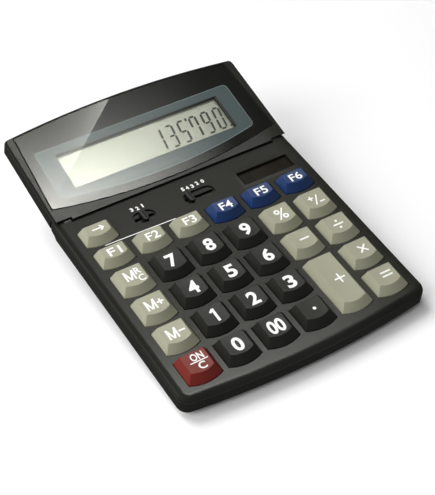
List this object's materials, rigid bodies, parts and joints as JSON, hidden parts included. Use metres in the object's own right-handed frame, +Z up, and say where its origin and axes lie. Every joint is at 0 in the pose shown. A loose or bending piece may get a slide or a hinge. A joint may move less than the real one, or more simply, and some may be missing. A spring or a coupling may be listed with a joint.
{
  "type": "desktop calculator",
  "caption": "Sloping desktop calculator with a field of bowed keys, two slide switches, a solar window and a display that tilts on a hinge behind the keys.",
  "frame": {"origin": "on the desk, under the middle of the calculator's bounding box", "axes": "+X to the right of the user, +Y away from the user towards the display, +Z up from the desk"},
  "size_m": [0.15, 0.203, 0.0517],
  "materials": {
    "case_plastic": "satin black, finely textured",
    "black_key_plastic": "satin",
    "beige_key_plastic": "satin",
    "blue_key_plastic": "satin",
    "red_key_plastic": "satin",
    "knob_plastic": "satin",
    "lens_plastic": "polished, printed behind, with a clear window",
    "clear_plastic": "clear, smoky",
    "cell_glass": "glossy dark brown",
    "lcd_glass": "glossy grey green",
    "white_plastic": "plain",
    "silicone": "matt grey",
    "contact_rubber": "matt",
    "board_laminate": "green lacquer",
    "cable_film": "amber film",
    "foot_rubber": "matt black",
    "steel": "bright"
  },
  "bodies": {
    "base": {"upper_case": "case_plastic", "lower_case": "case_plastic", "battery_door": "case_plastic", "solar_window": "clear_plastic", "solar_cell": "cell_glass", "rubber_keypad": "silicone", "main_board": "board_laminate", "lcd_ribbon_cable": "cable_film", "foot_front_left": "foot_rubber", "foot_front_right": "foot_rubber", "foot_back_left": "foot_rubber", "foot_back_right": "foot_rubber", "hinge_pin_left": "steel", "hinge_pin_right": "steel", "case_screw_front_left": "steel", "case_screw_front_right": "steel", "case_screw_back_left": "steel", "case_screw_back_right": "steel", "button_cell": "steel", "battery_contact_positive": "steel", "battery_contact_negative": "steel"},
    "display": {"display_front_case": "case_plastic", "display_rear_case": "case_plastic", "display_lens": "lens_plastic", "lcd_panel": "lcd_glass", "lcd_holder": "white_plastic", "lcd_contact_strip": "contact_rubber", "display_board": "board_laminate"},
    "rounding_switch_knob": {"rounding_switch_knob": "knob_plastic"},
    "decimal_switch_knob": {"decimal_switch_knob": "knob_plastic"},
    "key_on_clear": {"key_on_clear": "red_key_plastic"},
    "key_0": {"key_0": "black_key_plastic"},
    "key_double_zero": {"key_double_zero": "black_key_plastic"},
    "key_point": {"key_point": "black_key_plastic"},
    "key_plus": {"key_plus": "beige_key_plastic"},
    "key_equals": {"key_equals": "beige_key_plastic"},
    "key_memory_minus": {"key_memory_minus": "beige_key_plastic"},
    "key_1": {"key_1": "black_key_plastic"},
    "key_2": {"key_2": "black_key_plastic"},
    "key_3": {"key_3": "black_key_plastic"},
    "key_multiply": {"key_multiply": "beige_key_plastic"},
    "key_memory_plus": {"key_memory_plus": "beige_key_plastic"},
    "key_4": {"key_4": "black_key_plastic"},
    "key_5": {"key_5": "black_key_plastic"},
    "key_6": {"key_6": "black_key_plastic"},
    "key_minus": {"key_minus": "beige_key_plastic"},
    "key_divide": {"key_divide": "beige_key_plastic"},
    "key_memory_recall": {"key_memory_recall": "beige_key_plastic"},
    "key_7": {"key_7": "black_key_plastic"},
    "key_8": {"key_8": "black_key_plastic"},
    "key_9": {"key_9": "black_key_plastic"},
    "key_percent": {"key_percent": "beige_key_plastic"},
    "key_sign_change": {"key_sign_change": "beige_key_plastic"},
    "key_function_1": {"key_function_1": "beige_key_plastic"},
    "key_function_2": {"key_function_2": "beige_key_plastic"},
    "key_function_3": {"key_function_3": "beige_key_plastic"},
    "key_function_4": {"key_function_4": "blue_key_plastic"},
    "key_function_5": {"key_function_5": "blue_key_plastic"},
    "key_function_6": {"key_function_6": "blue_key_plastic"},
    "key_backspace": {"key_backspace": "beige_key_plastic"}
  },
  "joints": [
    {"name": "display_tilt", "type": "hinge", "parent": "base", "child": "display", "pos_m": [0, 0.03687, 0.02685], "axis": [1, 0, 0], "range_deg": [-10, 15]},
    {"name": "rounding_switch_slide", "type": "slide", "parent": "base", "child": "rounding_switch_knob", "axis": [1, 0, 0], "range_m": [-0.0025, 0.0035]},
    {"name": "decimal_switch_slide", "type": "slide", "parent": "base", "child": "decimal_switch_knob", "axis": [1, 0, 0], "range_m": [0, 0.0118]},
    {"name": "key_on_clear_press", "type": "slide", "parent": "base", "child": "key_on_clear", "axis": [0, 0.1248, -0.9922], "range_m": [0, 0.0018], "stiffness_N_per_m": 200, "springref_m": -0.001, "deforming": ["rubber_keypad"]},
    {"name": "key_0_press", "type": "slide", "parent": "base", "child": "key_0", "axis": [0, 0.1248, -0.9922], "range_m": [0, 0.0018], "stiffness_N_per_m": 200, "springref_m": -0.001, "deforming": ["rubber_keypad"]},
    {"name": "key_double_zero_press", "type": "slide", "parent": "base", "child": "key_double_zero", "axis": [0, 0.1248, -0.9922], "range_m": [0, 0.0018], "stiffness_N_per_m": 200, "springref_m": -0.001, "deforming": ["rubber_keypad"]},
    {"name": "key_point_press", "type": "slide", "parent": "base", "child": "key_point", "axis": [0, 0.1248, -0.9922], "range_m": [0, 0.0018], "stiffness_N_per_m": 200, "springref_m": -0.001, "deforming": ["rubber_keypad"]},
    {"name": "key_plus_press", "type": "slide", "parent": "base", "child": "key_plus", "axis": [0, 0.1248, -0.9922], "range_m": [0, 0.0018], "stiffness_N_per_m": 200, "springref_m": -0.001, "deforming": ["rubber_keypad"]},
    {"name": "key_equals_press", "type": "slide", "parent": "base", "child": "key_equals", "axis": [0, 0.1248, -0.9922], "range_m": [0, 0.0018], "stiffness_N_per_m": 200, "springref_m": -0.001, "deforming": ["rubber_keypad"]},
    {"name": "key_memory_minus_press", "type": "slide", "parent": "base", "child": "key_memory_minus", "axis": [0, 0.1248, -0.9922], "range_m": [0, 0.0018], "stiffness_N_per_m": 200, "springref_m": -0.001, "deforming": ["rubber_keypad"]},
    {"name": "key_1_press", "type": "slide", "parent": "base", "child": "key_1", "axis": [0, 0.1248, -0.9922], "range_m": [0, 0.0018], "stiffness_N_per_m": 200, "springref_m": -0.001, "deforming": ["rubber_keypad"]},
    {"name": "key_2_press", "type": "slide", "parent": "base", "child": "key_2", "axis": [0, 0.1248, -0.9922], "range_m": [0, 0.0018], "stiffness_N_per_m": 200, "springref_m": -0.001, "deforming": ["rubber_keypad"]},
    {"name": "key_3_press", "type": "slide", "parent": "base", "child": "key_3", "axis": [0, 0.1248, -0.9922], "range_m": [0, 0.0018], "stiffness_N_per_m": 200, "springref_m": -0.001, "deforming": ["rubber_keypad"]},
    {"name": "key_multiply_press", "type": "slide", "parent": "base", "child": "key_multiply", "axis": [0, 0.1248, -0.9922], "range_m": [0, 0.0018], "stiffness_N_per_m": 200, "springref_m": -0.001, "deforming": ["rubber_keypad"]},
    {"name": "key_memory_plus_press", "type": "slide", "parent": "base", "child": "key_memory_plus", "axis": [0, 0.1248, -0.9922], "range_m": [0, 0.0018], "stiffness_N_per_m": 200, "springref_m": -0.001, "deforming": ["rubber_keypad"]},
    {"name": "key_4_press", "type": "slide", "parent": "base", "child": "key_4", "axis": [0, 0.1248, -0.9922], "range_m": [0, 0.0018], "stiffness_N_per_m": 200, "springref_m": -0.001, "deforming": ["rubber_keypad"]},
    {"name": "key_5_press", "type": "slide", "parent": "base", "child": "key_5", "axis": [0, 0.1248, -0.9922], "range_m": [0, 0.0018], "stiffness_N_per_m": 200, "springref_m": -0.001, "deforming": ["rubber_keypad"]},
    {"name": "key_6_press", "type": "slide", "parent": "base", "child": "key_6", "axis": [0, 0.1248, -0.9922], "range_m": [0, 0.0018], "stiffness_N_per_m": 200, "springref_m": -0.001, "deforming": ["rubber_keypad"]},
    {"name": "key_minus_press", "type": "slide", "parent": "base", "child": "key_minus", "axis": [0, 0.1248, -0.9922], "range_m": [0, 0.0018], "stiffness_N_per_m": 200, "springref_m": -0.001, "deforming": ["rubber_keypad"]},
    {"name": "key_divide_press", "type": "slide", "parent": "base", "child": "key_divide", "axis": [0, 0.1248, -0.9922], "range_m": [0, 0.0018], "stiffness_N_per_m": 200, "springref_m": -0.001, "deforming": ["rubber_keypad"]},
    {"name": "key_memory_recall_press", "type": "slide", "parent": "base", "child": "key_memory_recall", "axis": [0, 0.1248, -0.9922], "range_m": [0, 0.0018], "stiffness_N_per_m": 200, "springref_m": -0.001, "deforming": ["rubber_keypad"]},
    {"name": "key_7_press", "type": "slide", "parent": "base", "child": "key_7", "axis": [0, 0.1248, -0.9922], "range_m": [0, 0.0018], "stiffness_N_per_m": 200, "springref_m": -0.001, "deforming": ["rubber_keypad"]},
    {"name": "key_8_press", "type": "slide", "parent": "base", "child": "key_8", "axis": [0, 0.1248, -0.9922], "range_m": [0, 0.0018], "stiffness_N_per_m": 200, "springref_m": -0.001, "deforming": ["rubber_keypad"]},
    {"name": "key_9_press", "type": "slide", "parent": "base", "child": "key_9", "axis": [0, 0.1248, -0.9922], "range_m": [0, 0.0018], "stiffness_N_per_m": 200, "springref_m": -0.001, "deforming": ["rubber_keypad"]},
    {"name": "key_percent_press", "type": "slide", "parent": "base", "child": "key_percent", "axis": [0, 0.1248, -0.9922], "range_m": [0, 0.0018], "stiffness_N_per_m": 200, "springref_m": -0.001, "deforming": ["rubber_keypad"]},
    {"name": "key_sign_change_press", "type": "slide", "parent": "base", "child": "key_sign_change", "axis": [0, 0.1248, -0.9922], "range_m": [0, 0.0018], "stiffness_N_per_m": 200, "springref_m": -0.001, "deforming": ["rubber_keypad"]},
    {"name": "key_function_1_press", "type": "slide", "parent": "base", "child": "key_function_1", "axis": [0, 0.1248, -0.9922], "range_m": [0, 0.0018], "stiffness_N_per_m": 200, "springref_m": -0.001, "deforming": ["rubber_keypad"]},
    {"name": "key_function_2_press", "type": "slide", "parent": "base", "child": "key_function_2", "axis": [0, 0.1248, -0.9922], "range_m": [0, 0.0018], "stiffness_N_per_m": 200, "springref_m": -0.001, "deforming": ["rubber_keypad"]},
    {"name": "key_function_3_press", "type": "slide", "parent": "base", "child": "key_function_3", "axis": [0, 0.1248, -0.9922], "range_m": [0, 0.0018], "stiffness_N_per_m": 200, "springref_m": -0.001, "deforming": ["rubber_keypad"]},
    {"name": "key_function_4_press", "type": "slide", "parent": "base", "child": "key_function_4", "axis": [0, 0.1248, -0.9922], "range_m": [0, 0.0018], "stiffness_N_per_m": 200, "springref_m": -0.001, "deforming": ["rubber_keypad"]},
    {"name": "key_function_5_press", "type": "slide", "parent": "base", "child": "key_function_5", "axis": [0, 0.1248, -0.9922], "range_m": [0, 0.0018], "stiffness_N_per_m": 200, "springref_m": -0.001, "deforming": ["rubber_keypad"]},
    {"name": "key_function_6_press", "type": "slide", "parent": "base", "child": "key_function_6", "axis": [0, 0.1248, -0.9922], "range_m": [0, 0.0018], "stiffness_N_per_m": 200, "springref_m": -0.001, "deforming": ["rubber_keypad"]},
    {"name": "key_backspace_press", "type": "slide", "parent": "base", "child": "key_backspace", "axis": [0, 0.1248, -0.9922], "range_m": [0, 0.0018], "stiffness_N_per_m": 200, "springref_m": -0.001, "deforming": ["rubber_keypad"]}
  ]
}
